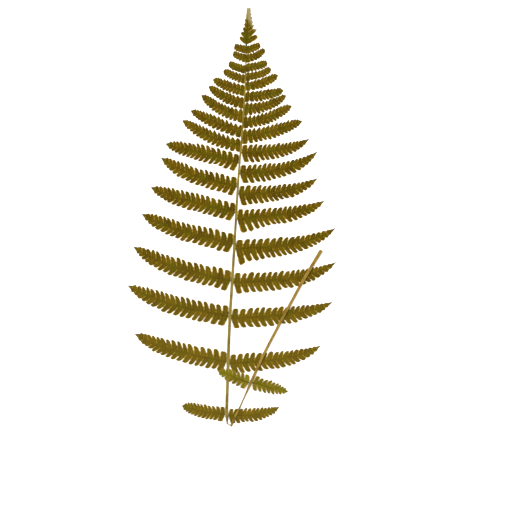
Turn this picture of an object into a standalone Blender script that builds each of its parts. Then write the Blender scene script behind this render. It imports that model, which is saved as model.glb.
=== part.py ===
"""Pressed bracken frond lying flat: midrib, divided pinnae, tip and folded-back stalk.

The frond lies on Z = 0 with its tip towards +Y. The stalk has snapped where it was folded
at the foot of the blade, and lies back over the blade with its own lowest pair of pinnae.
Every length below is in millimetres, and mesh building turns it into metres. The layout is
first worked out from the foot of the midrib, then everything is moved together so that the
origin is the bottom centre of the whole frond.
"""

import math
from dataclasses import dataclass

import bmesh
import bpy
import numpy as np
from mathutils import Vector

MM = 0.001
FIT_GAP = 0.3          # clear space between two pieces that touch in the real frond
TUBE_SIDES = 8         # corners of a stalk cross-section

# Midrib: x, y, half width at stations from the pointed foot to the start of the tip
MIDRIB = (
    (0, 0, 0.4), (0, 4, 1.0), (-0.5, 9, 1.6), (-1, 20, 1.5), (-1.5, 75, 1.5),
    (-1.5, 105, 1.45), (-0.5, 150, 1.4), (0.5, 200, 1.2), (1.5, 250, 1.0), (3.5, 295, 0.85),
    (4.5, 340, 0.65), (4, 380, 0.55),
)
MIDRIB_FLATNESS = 0.86  # height of the midrib over its width

# Folded stalk: x, y, height of its underside, half width, from the break to the cut end
STALK = (
    (4, -1.5, 0.5, 1.0), (6, 4, 1.4, 1.2), (8, 9, 2.0, 1.05), (12, 18, 2.3, 0.8),
    (16, 28, 2.5, 0.7), (22, 43, 2.6, 1.3), (33, 70, 2.7, 1.35), (46, 98, 2.7, 1.4),
    (67, 141, 2.7, 1.5), (76, 158, 2.7, 1.6), (87, 178, 2.7, 1.8),
)
STALK_FLATNESS = 0.82

# Pinnae, lowest first: height of the foot on the midrib, x and y of the tip, and how far the
# middle of the costa is bowed upwards
LEFT_ROWS = (
    (10, -46, 17, 0), (63, -96, 87, 0), (108, -105, 135, 0), (144, -101, 174, 0),
    (181, -94, 207, 1), (212, -86, 234, 2), (238, -77, 264, 0), (262, -73, 278, 3),
    (280, -57, 302, -2), (292, -49, 312, 1), (309, -39, 328, -2), (322, -32, 337, -1),
    (334, -28, 344, 0), (346, -18, 353, 0), (355, -13, 361, 0), (367, -9, 371, 0),
    (375, -8, 378, 0),
)
RIGHT_ROWS = (
    (9, 52, 20, 0), (61, 91, 83, 1), (106, 101, 127, 1), (142, 103, 167, 0),
    (176, 101, 201, 0), (206, 89, 228, 1), (231, 81, 250, -1), (251, 80, 277, 0),
    (272, 71, 289, 0), (289, 63, 306, 0), (302, 52, 321, 0), (316, 46, 331, -1),
    (329, 43, 336, -1), (339, 37, 351, 0), (348, 30, 357, 0), (357, 26, 363, 0),
    (367, 23, 376, 0), (375, 18, 381, 0),
)
# A costa is nearly straight at first and curves up towards its tip: the share of its mean
# slope that it starts with, and the power of the curve that adds the rest
START_SLOPE = {"left": 0.58, "right": 0.36}
TIP_CURL = 4.0
SHORT_CURL = 2.0       # for pinnae shorter than BLUNT_REACH
TIP_FALL = 1.5         # how late the costa comes down to the surface
ARCH_LEAN = 0.8        # under 1 puts the arch of the costa nearer its foot

SHEET_THICKNESS = 0.7      # a pinna as a plain solid
ROOT_HEIGHT = 0.35         # where a costa leaves the midrib, over the midrib's height
COSTA_ARCH = 0.9           # lift of the underside of a long costa at its middle
EDGE_DROOP = 0.075         # fall for each millimetre away from the costa
LONG_REACH = 100.0         # reach of the longest pinnae, for the sizes that scale with it

# Pinnules
LONG_WIDTH = (3.9, 0.050)  # costa to pinnule ends: a base and a share of the reach
SHORT_WIDTH = (2.2, 0.088)  # the same for short pinnae; the smaller result holds
LOWER_WIDTH = 1.08         # half width of the lower side over that of the upper one
NARROWING = 0.10           # share of the half width lost evenly from foot to tip
CLOSING = 4.5              # the higher, the later a side closes
CLOSING_END = 0.9          # how bluntly it closes
PITCH = (2.4, 0.043)       # room along the costa for one pinnule: a base and a share of the reach
PITCH_LOSS = 0.33          # share of the pitch lost from foot to tip, and the power of the loss
PITCH_POWER = 1.5
SLANT_FOOT = math.radians(76.0)   # between costa and pinnule at the foot of a pinna
SLANT_TIP = math.radians(48.0)
BARE_FOOT = 0.8            # bare costa before the first pinnule
END_LOBE = 0.90            # share of the costa where the single end lobe starts
BASAL_EXTRA = 0.65         # extra length of the lowest pinnules at the foot, right side
BASAL_FADE = 0.16          # share of the costa over which the extra length fades
LONG_BASAL_ABOVE = 160.0   # only on pinnae higher than this
ROW_SHARE = 0.46           # most of the space to the next row that one side may take
BLUNT_REACH = 60.0         # longer pinnae get pinnules with blunt two-cornered ends
BLUNT_HALF = 0.3           # half width of a blunt end over the pitch
BLUNT_BACK = 0.96          # length of a blunt end's rear corner over that of its front one
WEB_LONG = 0.46            # web between the pinnules at the foot of the longest pinna
WEB_SHORT = 0.34           # more web on shorter ones
WEB_FOLDED = 0.35          # web on the folded pair
WEB_END = 0.60             # web on the tip of the frond
WEB_TIP = 0.92             # web where the end lobe starts
WEB_POWER = 2.2            # how late the web grows

# Tip of the frond: its foot and point; each side narrows from its spread to its end
TIP_FOOT = (4.0, 380.0 + FIT_GAP)
TIP_POINT = (4.5, 417.0)
TIP_PITCH = 5.8
TIP_NARROWING = 2.0        # power of the curve that narrows it
TIP_LEFT = (6.5, 1.2)      # spread at the foot and half width left at the point
TIP_RIGHT = (9.5, 1.8)
TIP_START_SLOPE = 0.6

# Folded pair: foot beside the stalk and tip, both x, y and height of the underside
FOLDED_FOOT_Y = 43.0
FOLDED_FOOT_HEIGHT = 3.3
FOLDED_LEFT_TIP = (-12.0, 54.0, 2.6)
FOLDED_RIGHT_TIP = (60.0, 35.0, 0.2)
FOLDED_HALF_WIDTH = 7.6
FOLDED_PITCH = 4.3
FOLDED_CLEARANCE = 0.6     # gap to the stalk, more than FIT_GAP because the stalk slants

OLIVE = (0.150, 0.105, 0.012)
GREEN_OLIVE = (0.165, 0.175, 0.010)
STRAW = (0.400, 0.320, 0.080)
OCHRE = (0.440, 0.270, 0.045)


@dataclass(frozen=True)
class Outline:
    """How wide one side of a pinna is along its costa, over its half width."""

    width: float
    narrowing: float       # share lost evenly from foot to tip
    closing: float         # the higher, the later the side closes
    end: float

    def at(self, t):
        """Width at share t of the costa."""
        return self.width * (1 - self.narrowing * t) * (1 - t ** self.closing) ** self.end


FOLDED_OUTLINE = Outline(width=1.0, narrowing=0.0, closing=2.4, end=0.8)


def smooth_path(points, steps=3):
    """Points on a smooth curve through the given ones, of any dimension."""
    rows = [np.array(p) for p in points]
    rows = [2 * rows[0] - rows[1]] + rows + [2 * rows[-1] - rows[-2]]
    path = []
    for a, b, c, d in zip(rows, rows[1:], rows[2:], rows[3:]):
        for step in range(steps):
            t = step / steps
            path.append(0.5 * (2 * b + (c - a) * t + (2 * a - 5 * b + 4 * c - d) * t ** 2
                               + (3 * b - a - 3 * c + d) * t ** 3))
    path.append(rows[-2])
    return np.array(path)


MIDRIB_PATH = smooth_path(MIDRIB)
STALK_PATH = smooth_path(STALK)


def midrib_at(y):
    """Middle and half width of the midrib at height y along the frond."""
    middle = np.interp(y, MIDRIB_PATH[:, 1], MIDRIB_PATH[:, 0])
    half = np.interp(y, MIDRIB_PATH[:, 1], MIDRIB_PATH[:, 2])
    return float(middle), float(half)


def material(name, colour, roughness=0.7):
    """Plain dry plant finish."""
    finish = bpy.data.materials.new(name)
    finish.use_nodes = True
    shader = finish.node_tree.nodes["Principled BSDF"]
    shader.inputs["Base Color"].default_value = (*colour, 1.0)
    shader.inputs["Roughness"].default_value = roughness
    shader.inputs["Metallic"].default_value = 0.0
    return finish


def add_object(name, bm, colour):
    """Turn a closed bmesh in millimetres into a named object in metres."""
    bmesh.ops.triangulate(bm, faces=bm.faces[:])
    bmesh.ops.recalc_face_normals(bm, faces=bm.faces[:])
    bmesh.ops.scale(bm, vec=(MM, MM, MM), verts=bm.verts[:])
    mesh = bpy.data.meshes.new(name)
    bm.to_mesh(mesh)
    bm.free()
    mesh.materials.append(material(name + "_finish", colour))
    piece = bpy.data.objects.new(name, mesh)
    bpy.context.scene.collection.objects.link(piece)
    return piece


def tube(name, stations, flatness, colour):
    """Closed tube through stations of x, y, underside height and half width."""
    bm = bmesh.new()
    rings = []
    centres = [Vector((x, y, low + half * flatness)) for x, y, low, half in stations]
    for index, (_, _, _, half) in enumerate(stations):
        before = centres[max(index - 1, 0)]
        after = centres[min(index + 1, len(centres) - 1)]
        along = (after - before).normalized()
        side = along.cross(Vector((0.0, 0.0, 1.0))).normalized()
        up = side.cross(along)
        ring = []
        for corner in range(TUBE_SIDES):
            angle = 2 * math.pi * (corner + 0.5) / TUBE_SIDES
            offset = side * (half * math.cos(angle)) + up * (half * flatness * math.sin(angle))
            ring.append(bm.verts.new(centres[index] + offset))
        rings.append(ring)
    for lower, upper in zip(rings, rings[1:]):
        for corner in range(TUBE_SIDES):
            other = (corner + 1) % TUBE_SIDES
            bm.faces.new((lower[corner], lower[other], upper[other], upper[corner]))
    bm.faces.new(rings[0])
    bm.faces.new(rings[-1])
    return add_object(name, bm, colour)


@dataclass
class Leaflet:
    """A lobed leaf sheet around a curved middle line, the costa.

    foot and tip are x, y and underside height; start_slope is the share of the mean rise
    that the costa starts with; bow bends its middle up in plan and arch lifts it off the
    surface; above and below are the next leaflets on the same side of the midrib.
    """

    foot: tuple
    tip: tuple
    half_width: float
    pitch: float
    start_slope: float = 1.0
    curl: float = TIP_CURL
    bow: float = 0.0
    arch: float = 0.0
    upper_side: int = 1
    basal_extra: float = 0.0
    upper_outline: Outline = FOLDED_OUTLINE
    lower_outline: Outline = FOLDED_OUTLINE
    blunt: bool = False
    web_foot: float = WEB_FOLDED
    above: object = None
    below: object = None

    def point(self, t):
        """Costa point at share t of the way from foot to tip."""
        run = self.tip[0] - self.foot[0]
        rise = self.tip[1] - self.foot[1]
        bend = self.start_slope * t + (1 - self.start_slope) * t ** self.curl
        if abs(run) >= abs(rise):
            x = self.foot[0] + run * t
            y = self.foot[1] + rise * bend + self.bow * math.sin(math.pi * t)
        else:
            x = self.foot[0] + run * bend
            y = self.foot[1] + rise * t
        height = self.foot[2] + (self.tip[2] - self.foot[2]) * t ** TIP_FALL
        return Vector((x, y, height + self.arch * math.sin(math.pi * t ** ARCH_LEAN)))

    def along(self, t):
        """Unit direction of the costa in plan."""
        step = self.point(min(t + 0.01, 1.0)) - self.point(max(t - 0.01, 0.0))
        return Vector((step.x, step.y, 0.0)).normalized()

    def space_to(self, neighbour, t):
        """Room in plan between this costa and the neighbour's at share t."""
        here = self.point(t)
        run = neighbour.tip[0] - neighbour.foot[0]
        there = neighbour.point(min(max((here.x - neighbour.foot[0]) / run, 0.0), 1.0))
        return abs(there.y - here.y) * abs(self.along(t).x)

    def reach_of(self, t, upper):
        """Distance from the costa to the pinnule ends at share t."""
        outline = self.upper_outline if upper else self.lower_outline
        full = self.half_width * outline.at(t)
        if not upper:
            full *= 1 + self.basal_extra * math.exp(-t / BASAL_FADE)
        neighbour = self.above if upper else self.below
        if neighbour is not None:
            full = min(full, ROW_SHARE * self.space_to(neighbour, t))
        return full

    def pitch_at(self, t):
        """Room along the costa for one pinnule at share t."""
        return self.pitch * (1 - PITCH_LOSS * t ** PITCH_POWER)

    @staticmethod
    def slant_at(t):
        """Angle between the costa and a pinnule at share t."""
        return SLANT_FOOT + (SLANT_TIP - SLANT_FOOT) * t

    def bounds(self):
        """Shares of the costa at which one pinnule ends and the next one starts."""
        length = (Vector(self.tip[:2]) - Vector(self.foot[:2])).length
        shares = [BARE_FOOT / length]
        while shares[-1] < END_LOBE:
            shares.append(shares[-1] + self.pitch_at(shares[-1]) / length)
        scale = END_LOBE / shares[-1]
        return [share * scale for share in shares]

    def build(self, name, colour):
        """Sheet of costa, webs and pinnules, thickened upwards into a closed solid."""
        bm = bmesh.new()
        shares = self.bounds()
        costa = [bm.verts.new(self.point(t)) for t in shares]
        end = bm.verts.new(self.point(1.0))
        for upper in (True, False):
            self.add_side(bm, shares, costa, end, upper)
        region = bmesh.ops.extrude_face_region(bm, geom=bm.faces[:])
        lifted = [item for item in region["geom"] if isinstance(item, bmesh.types.BMVert)]
        bmesh.ops.translate(bm, verts=lifted, vec=(0.0, 0.0, SHEET_THICKNESS))
        return add_object(name, bm, colour)

    def spot(self, bm, t, forward, outward, sign):
        """Sheet vertex beside the costa, drooping with its distance from it."""
        ahead = self.along(t)
        across = Vector((-ahead.y, ahead.x, 0.0)) * sign
        place = self.point(t) + ahead * forward + across * outward
        place.z = max(place.z - EDGE_DROOP * outward, 0.0)
        return bm.verts.new(place)

    def add_side(self, bm, shares, costa, end, upper):
        """Webs and pinnules on one side of the costa."""
        sign = self.upper_side if upper else -self.upper_side
        notches = []
        for t in shares:
            web = self.web_foot + (WEB_TIP - self.web_foot) * t ** WEB_POWER
            out = self.reach_of(t, upper) * web
            notches.append(self.spot(bm, t, out / math.tan(self.slant_at(t)), out, sign))
        for index in range(len(shares) - 1):
            middle = 0.5 * (shares[index] + shares[index + 1])
            out = self.reach_of(middle, upper)
            forward = out / math.tan(self.slant_at(middle))
            ends = [self.spot(bm, middle, forward, out, sign)]
            if self.blunt:
                half = BLUNT_HALF * self.pitch_at(middle)
                ends = [self.spot(bm, middle, forward - half, out * BLUNT_BACK, sign),
                        self.spot(bm, middle, forward + half, out, sign)]
            bm.faces.new([costa[index], costa[index + 1], notches[index + 1], notches[index]])
            bm.faces.new([notches[index], notches[index + 1]] + ends[::-1])
        bm.faces.new([costa[-1], end, notches[-1]])


class TipLeaflet(Leaflet):
    """End of the frond, which narrows in one curve to its point."""

    def reach_of(self, t, upper):
        """Distance from the middle line to the ends of the lobes at share t."""
        spread, left_over = TIP_LEFT if upper else TIP_RIGHT
        return left_over + spread * (1 - t) ** TIP_NARROWING


def row_leaflet(side, row):
    """Leaflet of one row on one side of the midrib."""
    height, tip_x, tip_y, bow = row
    sign = 1 if side == "right" else -1
    middle, half = midrib_at(height)
    reach = abs(tip_x - middle)
    size = reach / LONG_REACH
    long_basal = side == "right" and height > LONG_BASAL_ABOVE
    return Leaflet(
        foot=(middle + sign * (half + FIT_GAP), height, 2 * half * MIDRIB_FLATNESS * ROOT_HEIGHT),
        tip=(tip_x, tip_y, 0.0),
        half_width=min(base + share * reach for base, share in (LONG_WIDTH, SHORT_WIDTH)),
        pitch=PITCH[0] + PITCH[1] * reach,
        start_slope=START_SLOPE[side],
        curl=TIP_CURL if reach > BLUNT_REACH else SHORT_CURL,
        bow=bow,
        arch=COSTA_ARCH * size,
        upper_side=sign,
        basal_extra=BASAL_EXTRA if long_basal else 0.0,
        upper_outline=Outline(1.0, NARROWING, CLOSING, CLOSING_END),
        lower_outline=Outline(LOWER_WIDTH, NARROWING, CLOSING, CLOSING_END),
        blunt=reach > BLUNT_REACH,
        web_foot=WEB_LONG + WEB_SHORT * (1 - min(size, 1.0)),
    )


def build_rows(side, rows):
    """One node for each pinna on one side, numbered from the lowest."""
    leaflets = [row_leaflet(side, row) for row in rows]
    for lower, upper in zip(leaflets, leaflets[1:]):
        lower.above = upper
        upper.below = lower
    for number, leaflet in enumerate(leaflets, start=1):
        leaflet.build(f"pinna_{side}_{number:02d}", OLIVE)


def build_folded_pair():
    """The lowest pair of pinnae, on the folded stalk and lying over the blade."""
    stalk_x = float(np.interp(FOLDED_FOOT_Y, STALK_PATH[:, 1], STALK_PATH[:, 0]))
    stalk_half = float(np.interp(FOLDED_FOOT_Y, STALK_PATH[:, 1], STALK_PATH[:, 3]))
    offset = stalk_half + FOLDED_CLEARANCE
    pair = (("left", -1, FOLDED_LEFT_TIP), ("right", 1, FOLDED_RIGHT_TIP))
    for side, sign, tip in pair:
        leaflet = Leaflet(
            foot=(stalk_x + sign * offset, FOLDED_FOOT_Y, FOLDED_FOOT_HEIGHT),
            tip=tip,
            half_width=FOLDED_HALF_WIDTH,
            pitch=FOLDED_PITCH,
            upper_side=sign,
        )
        leaflet.build(f"pinna_folded_{side}", GREEN_OLIVE)


def build_tip():
    """End of the frond, where the pinnae become simple lobes and run together."""
    foot_height = 2 * midrib_at(TIP_FOOT[1])[1] * MIDRIB_FLATNESS * ROOT_HEIGHT
    leaflet = TipLeaflet(
        foot=(*TIP_FOOT, foot_height),
        tip=(*TIP_POINT, 0.0),
        half_width=sum(TIP_RIGHT),
        pitch=TIP_PITCH,
        start_slope=TIP_START_SLOPE,
        curl=SHORT_CURL,
        blunt=True,
        web_foot=WEB_END,
    )
    leaflet.build("frond_tip", OLIVE)


def move_origin_to_bottom_centre():
    """Shift every piece so that the origin is the bottom centre of the whole frond."""
    pieces = [item for item in bpy.context.scene.objects if item.type == "MESH"]
    corners = np.array([vertex.co[:] for piece in pieces for vertex in piece.data.vertices])
    low, high = corners.min(axis=0), corners.max(axis=0)
    shift = Vector((-(low[0] + high[0]) / 2, -(low[1] + high[1]) / 2, -low[2]))
    for piece in pieces:
        piece.location = shift


def main():
    """Clear the scene and build the frond."""
    for item in list(bpy.data.objects):
        bpy.data.objects.remove(item, do_unlink=True)
    midrib = [(x, y, 0.0, half) for x, y, half in MIDRIB_PATH]
    tube("midrib", midrib, MIDRIB_FLATNESS, STRAW)
    tube("folded_stalk", STALK_PATH, STALK_FLATNESS, OCHRE)
    build_rows("left", LEFT_ROWS)
    build_rows("right", RIGHT_ROWS)
    build_folded_pair()
    build_tip()
    move_origin_to_bottom_centre()


main()
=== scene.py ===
"""Pressed bracken frond, dressed and laid on a plain pale floor.

The frond lies flat with its tip towards +Y: a grooved midrib with divided pinnae on both
sides and a lobed tip. The lower stalk has snapped at the foot of the blade, where it was
folded to be pressed, and lies back over the blade with its own greener pair of pinnae.
Shapes are laid out in millimetres from the foot of the midrib, and a Layout moves them into
the model's frame in metres.
"""

import logging
import math
import random
from dataclasses import dataclass
from enum import Enum
from typing import Any, Callable, Union

import bpy
import numpy as np
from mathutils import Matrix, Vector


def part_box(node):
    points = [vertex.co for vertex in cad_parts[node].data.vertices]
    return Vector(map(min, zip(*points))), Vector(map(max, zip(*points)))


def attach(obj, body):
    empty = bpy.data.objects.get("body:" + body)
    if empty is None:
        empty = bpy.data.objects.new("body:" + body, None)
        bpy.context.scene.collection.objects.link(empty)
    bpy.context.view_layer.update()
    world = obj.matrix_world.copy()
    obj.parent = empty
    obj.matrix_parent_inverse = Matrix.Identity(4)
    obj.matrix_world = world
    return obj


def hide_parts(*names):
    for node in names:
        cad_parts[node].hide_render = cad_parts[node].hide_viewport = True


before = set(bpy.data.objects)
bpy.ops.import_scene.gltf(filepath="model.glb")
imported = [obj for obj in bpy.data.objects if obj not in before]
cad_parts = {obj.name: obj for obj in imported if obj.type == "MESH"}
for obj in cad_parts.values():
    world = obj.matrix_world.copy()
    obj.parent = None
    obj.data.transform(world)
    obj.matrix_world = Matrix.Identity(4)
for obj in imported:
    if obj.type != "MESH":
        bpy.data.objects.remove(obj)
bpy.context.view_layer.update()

LOG = logging.getLogger("frond")
MM = 0.001
BODY = "root"
Colour = tuple[float, float, float]
Place = tuple[float, float, float]
SHARP_ANGLE = math.radians(48)     # edges that turn more than this are not smoothed
# Rings on the cut face of a stem: share of the radius and height over the half width
CUT_LEVELS = ((1.0, 0.0), (0.86, -0.12), (0.5, 0.05), (0.16, -0.18))


# ---------------------------------------------------------------- names and choices


class Side(Enum):
    """Side of the midrib, seen from above with the tip away from the viewer."""

    LEFT = "left"
    RIGHT = "right"

    @property
    def sign(self) -> int:
        """-1 for the left and 1 for the right."""
        return 1 if self is Side.RIGHT else -1

    @property
    def seed(self) -> int:
        """Seed from which the seeds of the side's pinnae are counted."""
        return 100 if self is Side.RIGHT else 0


class Slot(Enum):
    """Names of material slots, kept on each pinna."""

    LEAF_OLIVE = "leaf_olive"
    LEAF_GREEN = "leaf_green"
    MIDRIB_STRAW = "midrib_straw"
    STALK_OCHRE = "stalk_ochre"


# ---------------------------------------------------------------- shader writing


class Signal:
    """A shader socket that takes part in Python sums, each of which adds a Math node."""

    def __init__(self, painter: "Painter", socket: bpy.types.NodeSocket) -> None:
        """Keep the socket and the painter that owns its tree."""
        self.painter = painter
        self.socket = socket

    def _math(self, operation: str, first: Any, second: Any = None) -> "Signal":
        """Add one Math node and return its result.

        Args:
            operation: Name of the Math node's operation.
            first: Signal or number for the first input.
            second: Signal or number for the second input, if it has one.

        Returns:
            The node's output as a signal.
        """
        inputs = {0: first} if second is None else {0: first, 1: second}
        node = self.painter.node("ShaderNodeMath", {"operation": operation}, inputs)
        return Signal(self.painter, node.outputs[0])

    def __add__(self, other: Any) -> "Signal":
        """Sum of two values."""
        return self._math("ADD", self, other)

    __radd__ = __add__

    def __sub__(self, other: Any) -> "Signal":
        """This value less the other."""
        return self._math("SUBTRACT", self, other)

    def __rsub__(self, other: Any) -> "Signal":
        """The other value less this one."""
        return self._math("SUBTRACT", other, self)

    def __mul__(self, other: Any) -> "Signal":
        """Product of two values."""
        return self._math("MULTIPLY", self, other)

    __rmul__ = __mul__

    def abs(self) -> "Signal":
        """Size of the value without its sign."""
        return self._math("ABSOLUTE", self)

    def sine(self) -> "Signal":
        """Sine of the value in radians."""
        return self._math("SINE", self)

    def most(self, other: Any) -> "Signal":
        """The larger of two values."""
        return self._math("MAXIMUM", self, other)

    def rise(self, low: float, high: float) -> "Signal":
        """Smooth step from 0 at low to 1 at high, either way round.

        Args:
            low: Value at which the result is 0.
            high: Value at which the result is 1.

        Returns:
            The step as a signal.
        """
        settings = {"interpolation_type": "SMOOTHSTEP"}
        inputs = {"Value": self, "From Min": low, "From Max": high}
        node = self.painter.node("ShaderNodeMapRange", settings, inputs)
        return Signal(self.painter, node.outputs["Result"])


class Painter:
    """Writes one node material around a Principled shader."""

    def __init__(self, name: str) -> None:
        """Make an empty node material of that name.

        Args:
            name: Name of the material.
        """
        self.material = bpy.data.materials.new(name)
        self.material.use_nodes = True
        self.tree = self.material.node_tree
        self.shader = self.tree.nodes["Principled BSDF"]

    def node(self, kind: str, settings: dict[str, Any], inputs: dict[Any, Any]) -> bpy.types.Node:
        """Add a node, choose its settings, then fill or link its sockets.

        Args:
            kind: Blender's type name of the node.
            settings: Attributes of the node, by name.
            inputs: Signals or plain values by socket name or number.

        Returns:
            The new node.
        """
        node = self.tree.nodes.new(kind)
        for name, value in settings.items():
            setattr(node, name, value)
        for key, value in inputs.items():
            self.feed(node.inputs[key], value)
        return node

    def feed(self, socket: bpy.types.NodeSocket, value: Any) -> None:
        """Link a signal to a socket, or set a plain value on it.

        Args:
            socket: Input of a node.
            value: Signal, number, vector or colour.
        """
        if isinstance(value, Signal):
            self.tree.links.new(value.socket, socket)
        elif socket.type == "RGBA" and len(value) == 3:
            socket.default_value = (*value, 1.0)
        else:
            socket.default_value = value

    def attribute(self, name: str) -> tuple[Signal, Signal, Signal]:
        """The three numbers that the mesh holds under that name.

        Args:
            name: Name of the mesh's attribute.

        Returns:
            The three numbers.
        """
        node = self.node("ShaderNodeAttribute", {"attribute_name": name}, {})
        return self.split(Signal(self, node.outputs["Vector"]))

    def split(self, vector: Signal) -> tuple[Signal, Signal, Signal]:
        """The X, Y and Z parts of a vector.

        Args:
            vector: Signal with the vector.

        Returns:
            The three parts.
        """
        node = self.node("ShaderNodeSeparateXYZ", {}, {0: vector})
        return tuple(Signal(self, output) for output in node.outputs)

    def join(self, x: Any, y: Any, z: Any) -> Signal:
        """A vector made from three values."""
        node = self.node("ShaderNodeCombineXYZ", {}, {0: x, 1: y, 2: z})
        return Signal(self, node.outputs[0])

    def place(self) -> Signal:
        """Position on the piece in metres, in the model's frame."""
        node = self.node("ShaderNodeTexCoord", {}, {})
        return Signal(self, node.outputs["Object"])

    def shifted(self, vector: Signal, offset: Place, scale: Place = (1.0, 1.0, 1.0)) -> Signal:
        """The vector scaled and then moved, so that patterns differ between uses.

        Args:
            vector: Signal with the vector.
            offset: What is added at the end.
            scale: Factors on its X, Y and Z.

        Returns:
            The new vector.
        """
        settings = {"operation": "MULTIPLY_ADD"}
        node = self.node("ShaderNodeVectorMath", settings, {0: vector, 1: scale, 2: offset})
        return Signal(self, node.outputs[0])

    def noise(self, vector: Signal, scale: float, detail: float = 2.0,
              rough: float = 0.5) -> Signal:
        """Soft random pattern from 0 to 1.

        Args:
            vector: Place in the pattern.
            scale: Features per unit of the vector.
            detail: How many finer patterns are laid over it.
            rough: How strong the finer patterns are.

        Returns:
            The pattern as a signal.
        """
        inputs = {"Vector": vector, "Scale": scale, "Detail": detail, "Roughness": rough}
        node = self.node("ShaderNodeTexNoise", {}, inputs)
        return Signal(self, node.outputs[0])

    def cells(self, vector: Signal, scale: float) -> Signal:
        """Distance to the nearest of many scattered points."""
        node = self.node("ShaderNodeTexVoronoi", {}, {"Vector": vector, "Scale": scale})
        return Signal(self, node.outputs["Distance"])

    def mix(self, share: Any, base: Any, over: Any) -> Signal:
        """Colour base covered by a share of colour over.

        Args:
            share: Share from 0 to 1 that is covered.
            base: Colour below.
            over: Colour on top.

        Returns:
            The mixed colour.
        """
        settings = {"data_type": "RGBA", "clamp_factor": True}
        node = self.node("ShaderNodeMix", settings, {0: share, 6: base, 7: over})
        return Signal(self, node.outputs[2])

    def bump(self, height: Signal, strength: float, distance: float) -> Signal:
        """Surface direction bent by a height pattern."""
        inputs = {"Height": height, "Strength": strength, "Distance": distance}
        return Signal(self, self.node("ShaderNodeBump", {}, inputs).outputs[0])

    def finish(self, colour: Any, rough: Any, normal: Any, specular: float) -> bpy.types.Material:
        """Feed the shader and hand over the material.

        Args:
            colour: Signal or plain colour of the surface.
            rough: Signal or number for its roughness.
            normal: Signal with the bent surface direction, or None.
            specular: Plain strength of its gloss.

        Returns:
            The finished material.
        """
        self.feed(self.shader.inputs["Base Color"], colour)
        self.feed(self.shader.inputs["Roughness"], rough)
        self.feed(self.shader.inputs["Specular IOR Level"], specular)
        if normal is not None:
            self.feed(self.shader.inputs["Normal"], normal)
        return self.material


# ---------------------------------------------------------------- finishes


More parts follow.
